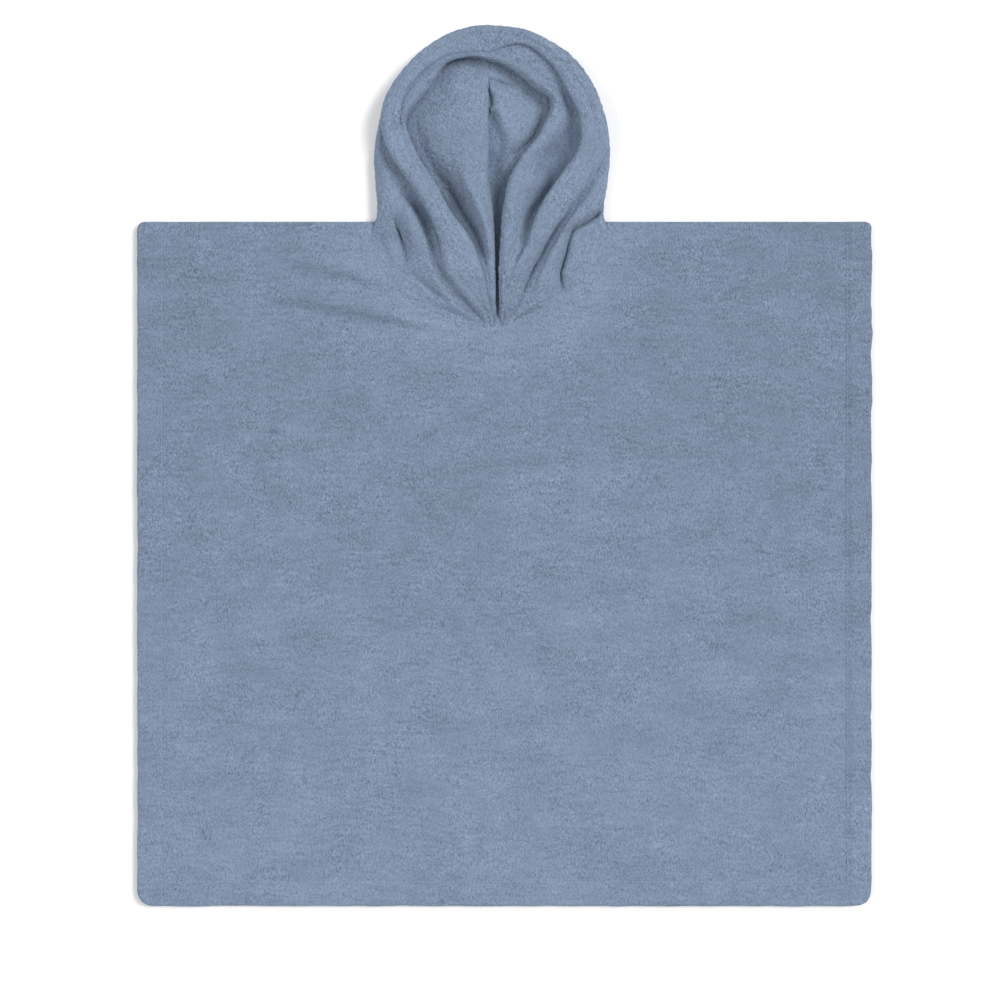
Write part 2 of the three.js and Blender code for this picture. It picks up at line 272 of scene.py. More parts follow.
def rounded_corners(x, y):
    """Moves the points near each square corner of a panel onto a round one."""
    for x_side in (-1, 1):
        for y_side, radius in ((-1, BOTTOM_RADIUS), (1, SHOULDER_RADIUS)):
            corner_x = (RIGHT_SIDE if x_side > 0 else LEFT_SIDE) - x_side * radius
            corner_y = (SHOULDER if y_side > 0 else BOTTOM) - y_side * radius
            a = np.clip((x - corner_x) * x_side / radius, 0, 1)
            b = np.clip((y - corner_y) * y_side / radius, 0, 1)
            near = (a > 0) & (b > 0)
            x = np.where(near, corner_x + x_side * radius * a * np.sqrt(1 - b * b / 2), x)
            y = np.where(near, corner_y + y_side * radius * b * np.sqrt(1 - a * a / 2), y)
    return x, y


def dented(x, y, folds):
    """Sum of soft ridges and troughs; each runs along its points and fades at its two ends."""
    total = np.zeros_like(x)
    for fold in folds:
        run = np.array(fold["run"]) * MM
        lengths = np.linalg.norm(np.diff(run, axis=0), axis=1)
        starts = np.concatenate([[0], np.cumsum(lengths)])
        nearest = np.full(x.shape, np.inf)
        along = np.zeros_like(x)
        for k, length in enumerate(lengths):
            way = (run[k + 1] - run[k]) / length
            held = np.clip((x - run[k][0]) * way[0] + (y - run[k][1]) * way[1], 0, length)
            away = np.hypot(x - run[k][0] - way[0] * held, y - run[k][1] - way[1] * held)
            along = np.where(away < nearest, starts[k] + held, along)
            nearest = np.minimum(away, nearest)
        fade = np.sin(np.pi * (0.06 + 0.88 * along / starts[-1])) ** 0.6
        total += fold["rise"] * MM * fade * np.exp(-(nearest / (fold["width"] * MM)) ** 2)
    return total


# Relief of a panel's cloth: the waves, the puckered hem, its groove of stitches and its wavy edge
HEM_STEP = 0.7 * MM
WAVE_HEIGHT = 0.7 * MM
LONG_WAVE = 75 * MM
SHORT_WAVE = 26 * MM
WAVES_FROM, WAVES_OVER = 8 * MM, 50 * MM
PUCKER_HEIGHT = 0.45 * MM
PUCKER_SIZE = 10 * MM
STITCH_GROOVE = 1.3 * MM
GROOVE_WIDTH = 1.5 * MM
STITCH_PUCKER = 9 * MM
DEEPEST_GROOVE = 1.6 * MM
EDGE_PULL = 1.1 * MM
PULL_REACH = 11 * MM
LONG_PULL = 21 * MM
SHORT_PULL = 8 * MM


def panel(name, level, hem_level, across, up, seed, top_edge, folds=(), free=None):
    """One body panel: a thin layer of terry with thicker hems, small waves and soft folds.
    top_edge gives the height up the panel at which the cloth ends. free gives how far the cloth
    may lift, from 0 to 1; without it the panel lies flat on the surface."""
    x, y = np.meshgrid(across, up)
    # Where the top edge is scooped the rows are drawn down with it, over three times its drop
    drop = SHOULDER - top_edge(x)
    y = y - drop * np.clip(1 - (SHOULDER - y) / np.maximum(3 * drop, 1e-6), 0, 1) ** 2
    x, y = rounded_corners(x, y)
    to_side = np.minimum(x - LEFT_SIDE, RIGHT_SIDE - x)
    to_edge = np.minimum(to_side, y - BOTTOM)
    # The rim rounds over at the sides, the bottom and the shoulders, but not round the scoop
    rim_x = np.minimum(across - LEFT_SIDE, RIGHT_SIDE - across)[None, :]
    rim_y = np.minimum(up[:, None] - BOTTOM, SHOULDER - up[:, None] + 5 * drop)
    hemmed = 1 / (1 + np.exp((to_edge - HEM_WIDTH) / HEM_STEP))
    thickness = CLOTH + (HEM_CLOTH - CLOTH) * hemmed
    middle = (level + CLOTH / 2) * (1 - hemmed) + (hem_level + HEM_CLOTH / 2) * hemmed
    into_rim = 1 - np.clip(np.minimum(rim_x, rim_y) / RIM, 0, 1)
    thickness = thickness * np.maximum(np.sqrt(1 - into_rim ** 2), 0.05)
    flat = np.stack([x, y, np.zeros_like(x)], axis=-1)
    lift = dented(x, y, folds)
    if free:
        wave = swells(flat, LONG_WAVE, seed) * 0.7 + swells(flat, SHORT_WAVE, seed + 1) * 0.3
        lift = lift + WAVE_HEIGHT * (wave + 1) * np.clip((to_edge - WAVES_FROM) / WAVES_OVER, 0, 1)
        lift = lift * free(x, y)
        lift = lift + PUCKER_HEIGHT * (swells(flat, PUCKER_SIZE, seed + 2) + 0.4) * hemmed
    puckers = 1 + 0.5 * swells(flat, STITCH_PUCKER, seed + 5)
    sewn = STITCH_GROOVE * puckers * np.exp(-((to_edge - HEM_WIDTH) / GROOVE_WIDTH) ** 2)
    wavy = swells(flat, LONG_PULL, seed + 3) + 0.5 * swells(flat, SHORT_PULL, seed + 4) + 0.35
    pull = EDGE_PULL * np.exp(-to_edge / PULL_REACH) * wavy
    sideways = to_side < y - BOTTOM
    x = x + np.where(sideways, np.where(x < 0, 0.6 * pull, -pull), 0)
    y = y + np.where(sideways, 0, 0.5 * pull)
    top_z = middle + thickness / 2 + np.maximum(lift - sewn, -DEEPEST_GROOVE)
    under_z = middle - thickness / 2 + (np.maximum(lift, 0) * 0.9 if free else 0)
    top = np.stack([x, y, top_z], axis=-1)
    under = np.stack([x, y, under_z], axis=-1)
    return closed_cloth(name, top, under, top[..., :2], body_terry)


def straight_top(x):
    """The back ends straight across at the shoulders."""
    return np.full_like(x, SHOULDER)


back = panel("back_cloth", 0.0, 0.0, stops(LEFT_SIDE, RIGHT_SIDE, BACK_STEP),
             stops(BOTTOM, SHOULDER, BACK_STEP), 11, straight_top)
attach(back, "root")
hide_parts("back_panel")


# ---- Front panel ------------------------------------------------------------------------
# The front is cut as the back is, with a scooped neck that the hood is sewn into. It lies on
# the back and sinks between the hems, with a few soft creases that run in to the neck.

NECK_X = -12 * MM
NECK_Y = 190 * MM
NECK_HALF_WIDTH = 93 * MM
NECK_DEPTH = 73 * MM
FRONT_STEP = 3 * MM
SEAM_GAP = 0.3 * MM
FRONT_LEVEL = CLOTH + SEAM_GAP
FRONT_HEM_LEVEL = HEM_CLOTH + SEAM_GAP
# Creases of the front: points of each run, its rise and its width, in mm
FRONT_FOLDS = [
    {"run": [(-192, 131), (-150, 125), (-100, 116), (-44, 106)], "rise": -3, "width": 5},
    {"run": [(-187, 142), (-150, 136), (-100, 127), (-60, 117)], "rise": 3.2, "width": 6.5},
    {"run": [(-184, 162), (-140, 153), (-98, 145)], "rise": -2.4, "width": 4.5},
    {"run": [(-178, 172), (-134, 163), (-102, 154)], "rise": 2.6, "width": 6},
    {"run": [(-176, 116), (-130, 109), (-84, 98)], "rise": 1.2, "width": 8},
    {"run": [(52, 124), (76, 124), (104, 129)], "rise": -1.5, "width": 5},
    {"run": [(-118, 182), (-124, 168), (-112, 150)], "rise": 1.2, "width": 7},
    {"run": [(90, 188), (94, 170), (86, 150)], "rise": 1.2, "width": 8},
    {"run": [(-40, 104), (0, 100), (40, 106)], "rise": 0.8, "width": 9},
]


def neck_edge(x):
    """Height up the front at which the cloth ends: the shoulder, or the neck's curve."""
    across = np.clip(np.abs(x - NECK_X) / NECK_HALF_WIDTH, 0, 1)
    return np.where(across < 1, NECK_Y - NECK_DEPTH * np.sqrt(1 - across ** 2), SHOULDER)


def flat_near_neck(x, y):
    """0 at the neck's edge, rising to 1 a little way out on the cloth."""
    across = (x - NECK_X) / NECK_HALF_WIDTH
    down = np.minimum(y - NECK_Y, 0) / NECK_DEPTH
    return np.clip((np.hypot(across, down) - 1.03) / 0.2, 0, 1)


neck_sides = (NECK_HALF_WIDTH - np.array([0.02, 0.4, 1, 2, 3.2, 4.6, 6.2]) * MM)
front_across = np.union1d(stops(LEFT_SIDE, RIGHT_SIDE, FRONT_STEP),
                          np.concatenate([NECK_X - neck_sides, NECK_X + neck_sides]))
front = panel("front_cloth", FRONT_LEVEL, FRONT_HEM_LEVEL, front_across,
              stops(BOTTOM, SHOULDER, FRONT_STEP), 31, neck_edge, FRONT_FOLDS, flat_near_neck)
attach(front, "root")
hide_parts("front_panel")


# ---- Hood -------------------------------------------------------------------------------
# Two D-shaped halves of the same terry, joined by a seam over the crown and down the back.
# The face edge is hemmed and folded outwards over a soft roll; the rest sinks into folds
# where the hood is gathered at the neck.

DOME_X = -10 * MM
DOME_Y = 246 * MM
DOME_HALF_WIDTH = 96.3 * MM
DOME_HEIGHT = 113 * MM
# The right half is a little fuller above and slimmer at the shoulder than the left
LEFT_SHAPE = {"power": 2.06, "pinch": 0.1}
RIGHT_SHAPE = {"power": 2.25, "pinch": 0.18}
HOOD_CLOTH = 2.4 * MM
HOOD_STEP = 1.45 * MM
# In mm, as the sections are: how far the hood laps the front at the neck, how far it spreads at
# the shoulder line, and where its centre seam runs
SKIRT = 6
FLARE = 2
CENTRE_X = -14
# Hood sections, one row each, from the front of the neck up and round to the crown, in mm.
# x, y: where the section starts at the middle of the hood; turn: its direction in degrees.
# Each pair is a distance out along the section and a height. core is the height at the middle,
# fold and dip lie inside the hood, tip is the rolled edge round the opening, strip is the cloth
# between the roll and the hem, band is the hem (inner border, outer border, height),
# crease and wall are the trough and the ridge outside the hem.
LEFT_ROWS = [
    dict(y=119, x=-6.0, turn=180, core=5.5, fold=(1, 5.7), dip=(2, 5.7), tip=(3, 6.6),
         strip=(4.5, 6.8), band=(6, 11, 7.6), crease=(14, 6.3), wall=(18, 6.4)),
    dict(y=134, x=-7.0, turn=180, core=9, fold=(1.5, 12), dip=(3.5, 12), tip=(6, 14.5),
         strip=(8.5, 15), band=(10.5, 22, 16), crease=(30, 11), wall=(38, 11)),
    dict(y=158, x=-7.5, turn=180, core=14, fold=(3, 18), dip=(7, 16.5), tip=(10.5, 21.5),
         strip=(14, 22), band=(17, 39.5, 23.5), crease=(45, 15), wall=(51.5, 16)),
    dict(y=184, x=-8.2, turn=180, core=16, fold=(5, 20.5), dip=(13, 11.5), tip=(19.5, 24),
         strip=(24.5, 25), band=(28.5, 44, 27.5), crease=(50, 13.5), wall=(58, 18.5)),
    dict(y=207, x=-9.6, turn=180, core=17, fold=(9.5, 21), dip=(27, 7), tip=(34.5, 26),
         strip=(38, 26.5), band=(40, 51.8, 29), crease=(56, 12), wall=(67, 20)),
    dict(y=230, x=-13.4, turn=180, core=19, fold=(16, 20), dip=(36.5, 6.5), tip=(43.5, 25),
         strip=(46.5, 25.5), band=(49, 62.5, 28), crease=(69, 16), wall=(79, 17.5)),
    dict(y=250, x=CENTRE_X, turn=175, core=19, fold=(20, 18), dip=(50, 6), tip=(58, 22.5),
         strip=(61.5, 22.5), band=(65, 80, 26), crease=(84, 14), wall=(88, 13)),
    dict(y=262, x=CENTRE_X, turn=163, core=18, fold=(22, 16.5), dip=(60, 4.5), tip=(69.5, 20),
         strip=(73, 20), band=(76, 90.5, 24), crease=(88, 11), wall=(89.5, 8)),
    dict(y=274, x=CENTRE_X, turn=147, core=17, fold=(20, 16), dip=(50, 4.5), tip=(59, 19),
         strip=(66, 18.5), band=(72, 84, 23), crease=(81.5, 10), wall=(83, 7)),
    dict(y=288, x=CENTRE_X, turn=128, core=15, fold=(16, 14), dip=(45, 5), tip=(52, 18),
         strip=(54.5, 18), band=(58, 71, 21), crease=(68.5, 9), wall=(70, 6.5)),
    dict(y=304, x=CENTRE_X, turn=108, core=13, fold=(9, 12), dip=(25, 5.5), tip=(31, 17.5),
         strip=(33, 18), band=(36, 55, 20.5), crease=(52.5, 9), wall=(54, 6.5)),
    dict(y=316, x=CENTRE_X, turn=90, core=9, fold=(4, 9), dip=(10, 7), tip=(15, 17),
         strip=(18, 17.5), band=(22, 42.5, 20), crease=(40, 9), wall=(41.5, 6.5)),
]
RIGHT_ROWS = [
    dict(y=119, x=-6.0, turn=0, core=5.5, fold=(0.9, 5.7), dip=(1.8, 5.7), tip=(2.6, 6.6),
         strip=(4, 6.8), band=(5, 8.5, 7.4), crease=(10.5, 6.3), wall=(12.5, 6.3)),
    dict(y=134, x=-7.0, turn=0, core=6, fold=(1, 6.2), dip=(2, 6.2), tip=(3, 14),
         strip=(6.5, 14), band=(8, 18, 15.5), crease=(21, 11), wall=(30, 13)),
    dict(y=158, x=-7.5, turn=0, core=9, fold=(1, 9.2), dip=(2, 9.2), tip=(3, 20.5),
         strip=(12, 19.5), band=(16, 27, 22.5), crease=(29.3, 14.5), wall=(39.5, 17.5)),
    dict(y=184, x=-8.2, turn=0, core=10, fold=(1.5, 10.2), dip=(3, 10.2), tip=(4.8, 24.5),
         strip=(22, 18), band=(28.5, 41.5, 26.5), crease=(44, 16.5), wall=(53.5, 20.5)),
    dict(y=207, x=-9.6, turn=0, core=8.5, fold=(2.5, 8.5), dip=(5, 8.5), tip=(8.4, 25),
         strip=(32, 9.5), band=(38.5, 58, 28), crease=(60.5, 17), wall=(69, 19.5)),
    dict(y=230, x=-13.4, turn=0, core=5, fold=(6, 5), dip=(12, 5), tip=(16.4, 25),
         strip=(50.5, 4), band=(56, 79, 27), crease=(82, 15), wall=(88, 15)),
    dict(y=245, x=CENTRE_X, turn=8, core=3.5, fold=(11.5, 5.5), dip=(17, 8), tip=(26.5, 23),
         strip=(54, 5), band=(75, 97, 25), crease=(95.5, 12), wall=(97, 9)),
    dict(y=258, x=CENTRE_X, turn=18, core=8, fold=(20, 15), dip=(40, 5.5), tip=(46, 21),
         strip=(71, 12), band=(80, 97, 25), crease=(94.5, 11), wall=(96, 8)),
    dict(y=270, x=CENTRE_X, turn=27, core=9, fold=(17, 15.5), dip=(51, 5.5), tip=(58.5, 20),
         strip=(69, 15), band=(75, 92, 24), crease=(89.5, 10), wall=(91, 7.5)),
    dict(y=276, x=CENTRE_X, turn=42, core=8.5, fold=(15.5, 15), dip=(42, 5.5), tip=(49.5, 19),
         strip=(61, 17), band=(73.5, 86, 23), crease=(83.5, 10), wall=(85, 7)),
    dict(y=290, x=CENTRE_X, turn=62, core=7.5, fold=(13, 12.5), dip=(32, 5.5), tip=(39, 18),
         strip=(49.5, 17), band=(61, 71.5, 22), crease=(69, 9), wall=(70.5, 6.5)),
    dict(y=316, x=CENTRE_X, turn=90, core=9, fold=(4, 8.7), dip=(10, 7), tip=(15, 17),
         strip=(18, 17.5), band=(22, 42.5, 20), crease=(40, 9), wall=(41.5, 6.5)),
]
# Smaller creases of each half, on its outer wall, its strip inside the hem and its inside
LEFT_FOLDS = dict(
    wall=[{"run": [(-89, 200), (-84, 188), (-81, 178), (-80, 168)], "rise": -6.5, "width": 2.1},
          {"run": [(-77, 198), (-73, 184), (-70, 172)], "rise": 2.2, "width": 5},
          {"run": [(-97, 200), (-94, 184), (-89, 168)], "rise": 2.5, "width": 4.5},
          {"run": [(-74, 156), (-60, 144), (-46, 134)], "rise": -2.5, "width": 2.8},
          {"run": [(-58, 190), (-49, 170), (-42, 154), (-34, 140)], "rise": 2, "width": 2.8}],
    strip=[{"run": [(-88, 276), (-84, 302), (-71, 315), (-50, 326), (-34, 334)],
            "rise": -2.2, "width": 2.6}],
    inside=[{"run": [(-60, 262), (-48, 282), (-36, 300)], "rise": 1.2, "width": 9},
            {"run": [(-48, 230), (-38, 208), (-23, 184)], "rise": -2.5, "width": 4},
            {"run": [(-34, 240), (-25, 218), (-14, 196), (-11, 172)], "rise": 3, "width": 4}],
)
RIGHT_FOLDS = dict(
    wall=[{"run": [(90, 212), (77, 206), (66.5, 199), (53, 190.6)], "rise": -11, "width": 2.7},
          {"run": [(56, 194), (52, 184), (49.5, 172), (45.2, 158), (47, 142)],
           "rise": -7.5, "width": 2.4},
          {"run": [(66, 188), (62, 172), (58, 158)], "rise": 3.5, "width": 8},
          {"run": [(51, 207), (42, 195), (35, 184), (29, 171), (21, 158), (15, 144)],
           "rise": -3, "width": 2.2}],
    strip=[{"run": [(-4, 334), (18, 326), (32, 314)], "rise": -1.4, "width": 2.6}],
    inside=[{"run": [(-14, 316), (8, 311), (27, 305)], "rise": -4, "width": 2.2},
            {"run": [(-13, 301), (-4, 298)], "rise": -1.4, "width": 4.5},
            {"run": [(-10, 293), (-9, 289)], "rise": 4, "width": 3.2}],
)
# The stations along a section, from the centre seam out to the foot and back over the top
STATIONS = ("seam_low", "seam", "slope", "fold", "dip", "tuck", "under", "foot", "skirt_low",
            "skirt", "spread", "wall", "valley_side", "crease", "undercut", "hem_side",
            "hem_edge", "hem_turn", "hem_top", "hem_inner", "hem_foot", "strip", "roll_side",
            "roll", "tip", "roll_under", "end")


def outline_half_width(y, shape):
    """Half the width of the hood's outline at a height."""
    if y < DOME_Y:
        return DOME_HALF_WIDTH - shape["pinch"] * min(DOME_Y - y, DOME_Y - SHOULDER)
    share = min((y - DOME_Y) / DOME_HEIGHT, 1)
    return DOME_HALF_WIDTH * (1 - share ** shape["power"]) ** (1 / shape["power"])


def inside_outline(x, y):
    """Whether a place is inside the hood's dome or, below the shoulders, inside the neck."""
    if y > SHOULDER:
        shape = LEFT_SHAPE if x < DOME_X else RIGHT_SHAPE
        return y < DOME_Y + DOME_HEIGHT and abs(x - DOME_X) < outline_half_width(y, shape)
    across = (x - NECK_X) / (NECK_HALF_WIDTH - SEAM_GAP)
    down = min(y - NECK_Y, 0) / (NECK_DEPTH - SEAM_GAP)
    return across * across + down * down < 1


LONGEST_SECTION = 200.0
HALVINGS = 24


def reach_of(row, along):
    """How far a section runs before it leaves the outline, in mm, found by halving."""
    near, far = 0.0, LONGEST_SECTION
    for _ in range(HALVINGS):
        middle = (near + far) / 2
        if inside_outline((row["x"] + along[0] * middle) * MM, (row["y"] + along[1] * middle) * MM):
            near = middle
        else:
            far = middle
    return near


def section_points(row, side):
    """Middle of the cloth at each station of one section, in mm."""
    angle = math.radians(row["turn"])
    along = (math.cos(angle), math.sin(angle))
    half = HOOD_CLOTH / MM / 2
    on_neck = row["y"] * MM < SHOULDER
    flare = FLARE * math.exp(-abs(row["y"] - SHOULDER / MM) / 9)
    reach = reach_of(row, along) + (0 if on_neck else flare - half * 0.8)
    floor = half + (FRONT_LEVEL / MM if on_neck else 0)
    front_top = (FRONT_LEVEL + CLOTH) / MM - half
    core = row["core"] - half
    band_in, band_out, band_up = row["band"]
    pairs = ("fold", "dip", "tip", "strip", "crease", "wall")
    out = {name: row[name][0] for name in pairs}
    up = {name: row[name][1] - half for name in pairs}
    edge = min(band_out, reach)
    wall_at = min(out["wall"], reach - 0.5)
    crease_at = min(out["crease"], wall_at - 0.5)
    band_top = band_up - half
    overhang = min(max((band_top - up["strip"] - 3) / 8, 0), 1)
    drop = min(4, 0.7 * (band_top - up["crease"]))
    undercut = min(3.5, (edge - band_in) / 3)
    roll = min(8, 0.55 * (up["tip"] - up["dip"]))
    turn_over = min(4.5, (out["strip"] - out["tip"]) / 2)
    hollow = min(12, (band_in + edge) / 2 - out["tip"])
    under = up["tip"] - roll
    foot_out = max(reach - 3, out["tip"] + hollow * 0.8)
    # At the seam the left half turns down to the surface, and the right half's edge runs into it
    if side < 0:
        seam_low = (half * 0.9, floor + 0.2)
        seam = (half, max(core - 1.2, half + 0.2))
        slope = (out["fold"] * 0.5, core + 0.6 * (up["fold"] - core) + 0.6)
    else:
        seam_low = (-1.8, max(core - 1.4, half))
        seam = (-0.2, core)
        slope = (out["fold"] * 0.62, core + 0.12 * (up["fold"] - core))
    sinking = on_neck * SKIRT * (1 + 2.5 * ((SHOULDER / MM - row["y"]) / (NECK_DEPTH / MM + 10)) ** 4)
    places = {
        "seam_low": seam_low,
        "seam": seam,
        "slope": (max(slope[0], half + 0.2), slope[1]),
        "fold": (max(out["fold"], half + 0.4), up["fold"]),
        "dip": (max(out["dip"], half + 0.8), up["dip"]),
        "tuck": ((out["dip"] + out["tip"]) / 2 + 0.6, up["dip"]),
        "under": ((out["tip"] + foot_out) / 2, floor + 0.4 * (up["dip"] - floor)),
        "foot": (foot_out, floor),
        "skirt_low": (reach - 0.6 + sinking, floor + (-1.0 if on_neck else 0.6)),
        "skirt": (reach + 0.4 * sinking, front_top + 0.2 if on_neck else up["wall"] * 0.5 + 0.6),
        "spread": (wall_at + 0.62 * (reach - wall_at),
                   front_top + 0.22 * (up["wall"] - front_top) if on_neck else up["wall"] * 0.85 + 0.2),
        "wall": (wall_at, up["wall"]),
        "valley_side": (crease_at + 0.66 * (wall_at - crease_at),
                        up["crease"] + 0.3 * (up["wall"] - up["crease"])),
        "crease": (crease_at, up["crease"]),
        "undercut": (min(edge - undercut, crease_at - 0.5),
                     up["crease"] + 0.25 * (band_top - up["crease"])),
        "hem_side": (min(edge - undercut * 0.35, crease_at),
                     up["crease"] + 0.55 * (band_top - up["crease"])),
        "hem_edge": (edge, band_top - drop * 0.75),
        "hem_turn": (edge - min(2.2, (edge - band_in) / 6), band_top - drop * 0.2),
        "hem_top": (edge - (edge - band_in) / 2.6, band_top),
        "hem_inner": (band_in, band_top - 1.2),
        "hem_foot": (band_in - 1 + 2.6 * overhang, up["strip"] + 0.2 * (band_top - up["strip"])),
        "strip": (out["strip"], up["strip"]),
        "roll_side": (out["tip"] + 0.53 * (out["strip"] - out["tip"]),
                      up["strip"] + 0.75 * (up["tip"] - up["strip"])),
        "roll": (out["tip"] + turn_over, up["tip"]),
        "tip": (out["tip"] + half * 0.7, up["tip"] - roll / 2),
        "roll_under": (out["tip"] + max(roll / 2, half), under),
        "end": (out["tip"] + hollow, (under + up["dip"]) / 2),
    }
    return [(row["x"] + along[0] * places[name][0], row["y"] + along[1] * places[name][0],
             places[name][1]) for name in STATIONS]


def smooth_run(points, steps):
    """Centripetal Catmull-Rom curve through points, with steps[k] stops in span k."""
    padded = np.concatenate([2 * points[:1] - points[1:2], points, 2 * points[-1:] - points[-2:-1]])
    gaps = np.linalg.norm(np.diff(padded, axis=0), axis=-1).reshape(len(padded) - 1, -1).mean(axis=1)
    knots = np.concatenate([[0], np.cumsum(np.maximum(gaps, 1e-5) ** 0.5)])
    parts = []
    for k in range(len(points) - 1):
        p0, p1, p2, p3 = padded[k:k + 4]
        t0, t1, t2, t3 = knots[k:k + 4]
        inside = np.linspace(t1, t2, steps[k] + 1)
        t = (inside if k == len(points) - 2 else inside[:-1]).reshape((-1,) + (1,) * (points.ndim - 1))
        a1 = (t1 - t) / (t1 - t0) * p0 + (t - t0) / (t1 - t0) * p1
        a2 = (t2 - t) / (t2 - t1) * p1 + (t - t1) / (t2 - t1) * p2
        a3 = (t3 - t) / (t3 - t2) * p2 + (t - t2) / (t3 - t2) * p3
        b1 = (t2 - t) / (t2 - t0) * a1 + (t - t0) / (t2 - t0) * a2
        b2 = (t3 - t) / (t3 - t1) * a2 + (t - t1) / (t3 - t1) * a3
        parts.append((t2 - t) / (t2 - t1) * b1 + (t - t1) / (t2 - t1) * b2)
    return np.concatenate(parts)


def span_steps(points, step, fewest):
    """How many stops each span takes so that they lie about one step apart."""
    gaps = np.linalg.norm(np.diff(points, axis=0), axis=-1)
    gaps = gaps.reshape(len(gaps), -1)
    return np.maximum(np.ceil((gaps.max(axis=1) + gaps.mean(axis=1)) / 2 / step).astype(int), fewest)


hood_terry = terry_material("hood_terry", pile=1.0, mottle=0.22)
# At the front of the neck the hood runs on by the apron, down inside the front's cloth
APRON_LENGTH = 7 * MM
APRON_LEVEL = FRONT_LEVEL + 0.9 * MM
# How near the front of the neck, the crown and the centre seam the cloth is held still
NECK_HOLD = 20 * MM
CROWN_HOLD = 14 * MM
SEAM_HOLD = 6 * MM
# The ripples' two sizes, and the stitches' distance from the hem's edge and their groove's width
HOOD_WAVE = 24 * MM
HOOD_RIPPLE = 9 * MM
HOOD_STITCHES = 8.5 * MM
GROOVE_SPREAD = 1.2 * MM
# In mm: how high the ripples are and how deep the groove is
RIPPLE_HEIGHT = 0.8
GROOVE_DEPTH = 0.9
# The loops stand out of both faces, and are cut short at the crown's seam
LOOP_HEIGHT = 0.6 * MM
LOOP_SPACING = 2.2 * MM
CROWN_TRIM = 3 * MM
ABOVE_SURFACE = 0.02 * MM


def hood_half(name, rows, side, folds, seed):
    """One half of the hood: smooth cloth through its sections, with creases, ripples and loops.
    It comes with the line of its hem stitches."""
    net = np.array([section_points(row, side) for row in rows]) * MM
    apron = net[:1].copy()
    apron[..., 1] -= APRON_LENGTH
    apron[..., 2] = np.minimum(apron[..., 2], APRON_LEVEL)
    net = np.concatenate([apron, net])
    net = smooth_run(net, span_steps(net, HOOD_STEP, 3))
    net = np.swapaxes(net, 0, 1)
    steps = span_steps(net, HOOD_STEP, 2)
    fine = np.ascontiguousarray(np.swapaxes(smooth_run(net, steps), 0, 1))
    station = dict(zip(STATIONS, np.concatenate([[0], np.cumsum(steps)])))
    column = np.arange(fine.shape[1])[None, :]

    def between(first, last, soft=4):
        rising = np.clip((column - station[first]) / soft, 0, 1)
        return rising * np.clip((station[last] - column) / 4, 0, 1)

    x, y = fine[..., 0].copy(), fine[..., 1].copy()
    fine[..., 2] += dented(x, y, folds["wall"]) * between("skirt", "hem_side", 5)
    fine[..., 2] += dented(x, y, folds["strip"]) * between("hem_inner", "tip")
    fine[..., 2] += dented(x, y, folds["inside"]) * np.clip((station["dip"] - column) / 6, 0, 1)
    along = np.linalg.norm(np.diff(fine, axis=1), axis=-1)
    v = np.concatenate([np.zeros((len(fine), 1)), np.cumsum(along, axis=1)], axis=1)
    across = np.linalg.norm(np.diff(fine, axis=0), axis=-1).mean(axis=1)
    u = np.concatenate([[0], np.cumsum(across)])[:, None] + np.zeros_like(v)
    normal = np.cross(np.gradient(fine, axis=0), np.gradient(fine, axis=1))
    normal /= np.maximum(np.linalg.norm(normal, axis=-1, keepdims=True), 1e-9)
    normal *= -side
    free = np.clip((y - rows[0]["y"] * MM) / NECK_HOLD, 0, 1)
    to_crown = np.concatenate([np.cumsum(across[::-1])[::-1], [0]])[:, None]
    free = free * np.clip(to_crown / CROWN_HOLD, 0, 1) * np.clip(v / SEAM_HOLD, 0, 1)
    ripple = swells(fine, HOOD_WAVE, seed) * 0.6 + swells(fine, HOOD_RIPPLE, seed + 1) * 0.35
    past_edge = v - v[:, station["hem_edge"]][:, None]
    stitched = np.exp(-((past_edge - HOOD_STITCHES) / GROOVE_SPREAD) ** 2)
    relief = (ripple * RIPPLE_HEIGHT * free + GROOVE_DEPTH * stitched * free) * MM
    fine = fine + normal * relief[..., None]
    rim = np.minimum(v, v[:, -1:] - v)
    rounding = np.sqrt(np.clip(1 - (1 - np.clip(rim / (HOOD_CLOTH / 2), 0, 1)) ** 2, 0.001, 1))
    half = HOOD_CLOTH / 2 * rounding
    loops = LOOP_HEIGHT * rounding * np.clip(to_crown / CROWN_TRIM, 0, 1)
    inner = fine + normal * (half + loops * swells(fine, LOOP_SPACING, seed + 2))[..., None]
    outer = fine - normal * (half + loops * swells(fine, LOOP_SPACING, seed + 3))[..., None]
    for face in (inner, outer):
        face[-1, :, 0] = CENTRE_X * MM
        face[..., 2] = np.maximum(face[..., 2], ABOVE_SURFACE)
    sewn = np.argmax(stitched, axis=1)
    row = np.arange(len(fine))
    hem_line = (outer[row, sewn], -normal[row, sewn])
    top, under = (inner, outer) if side < 0 else (outer, inner)
    return closed_cloth(name, top, under, np.stack([u, v], axis=-1), hood_terry), hem_line


hood_left, left_hem_line = hood_half("hood_left_cloth", LEFT_ROWS, -1, LEFT_FOLDS, 21)
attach(hood_left, "root")
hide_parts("hood_left")

hood_right, right_hem_line = hood_half("hood_right_cloth", RIGHT_ROWS, 1, RIGHT_FOLDS, 31)
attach(hood_right, "root")
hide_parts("hood_right")


# ---- Hem stitching ----------------------------------------------------------------------
# Single rows of polyester thread hold the turned-in hems. On the front they run 20 mm inside
# both sides and the bottom, and on the hood 8.5 mm inside the edge of its turned-out hem.

STITCH_LENGTH = 2.7 * MM
STITCH_PITCH = 3.5 * MM
THREAD_RADIUS = 0.3 * MM
THREAD_DARK = (0.15, 0.2, 0.285, 1)
THREAD_PALE = (0.27, 0.34, 0.46, 1)
TWIST_SIZE = 0.9 * MM
# How far short of the shoulders and of the edges the front's rows end
SHOULDER_MARGIN = 2 * MM
EDGE_MARGIN = 3 * MM

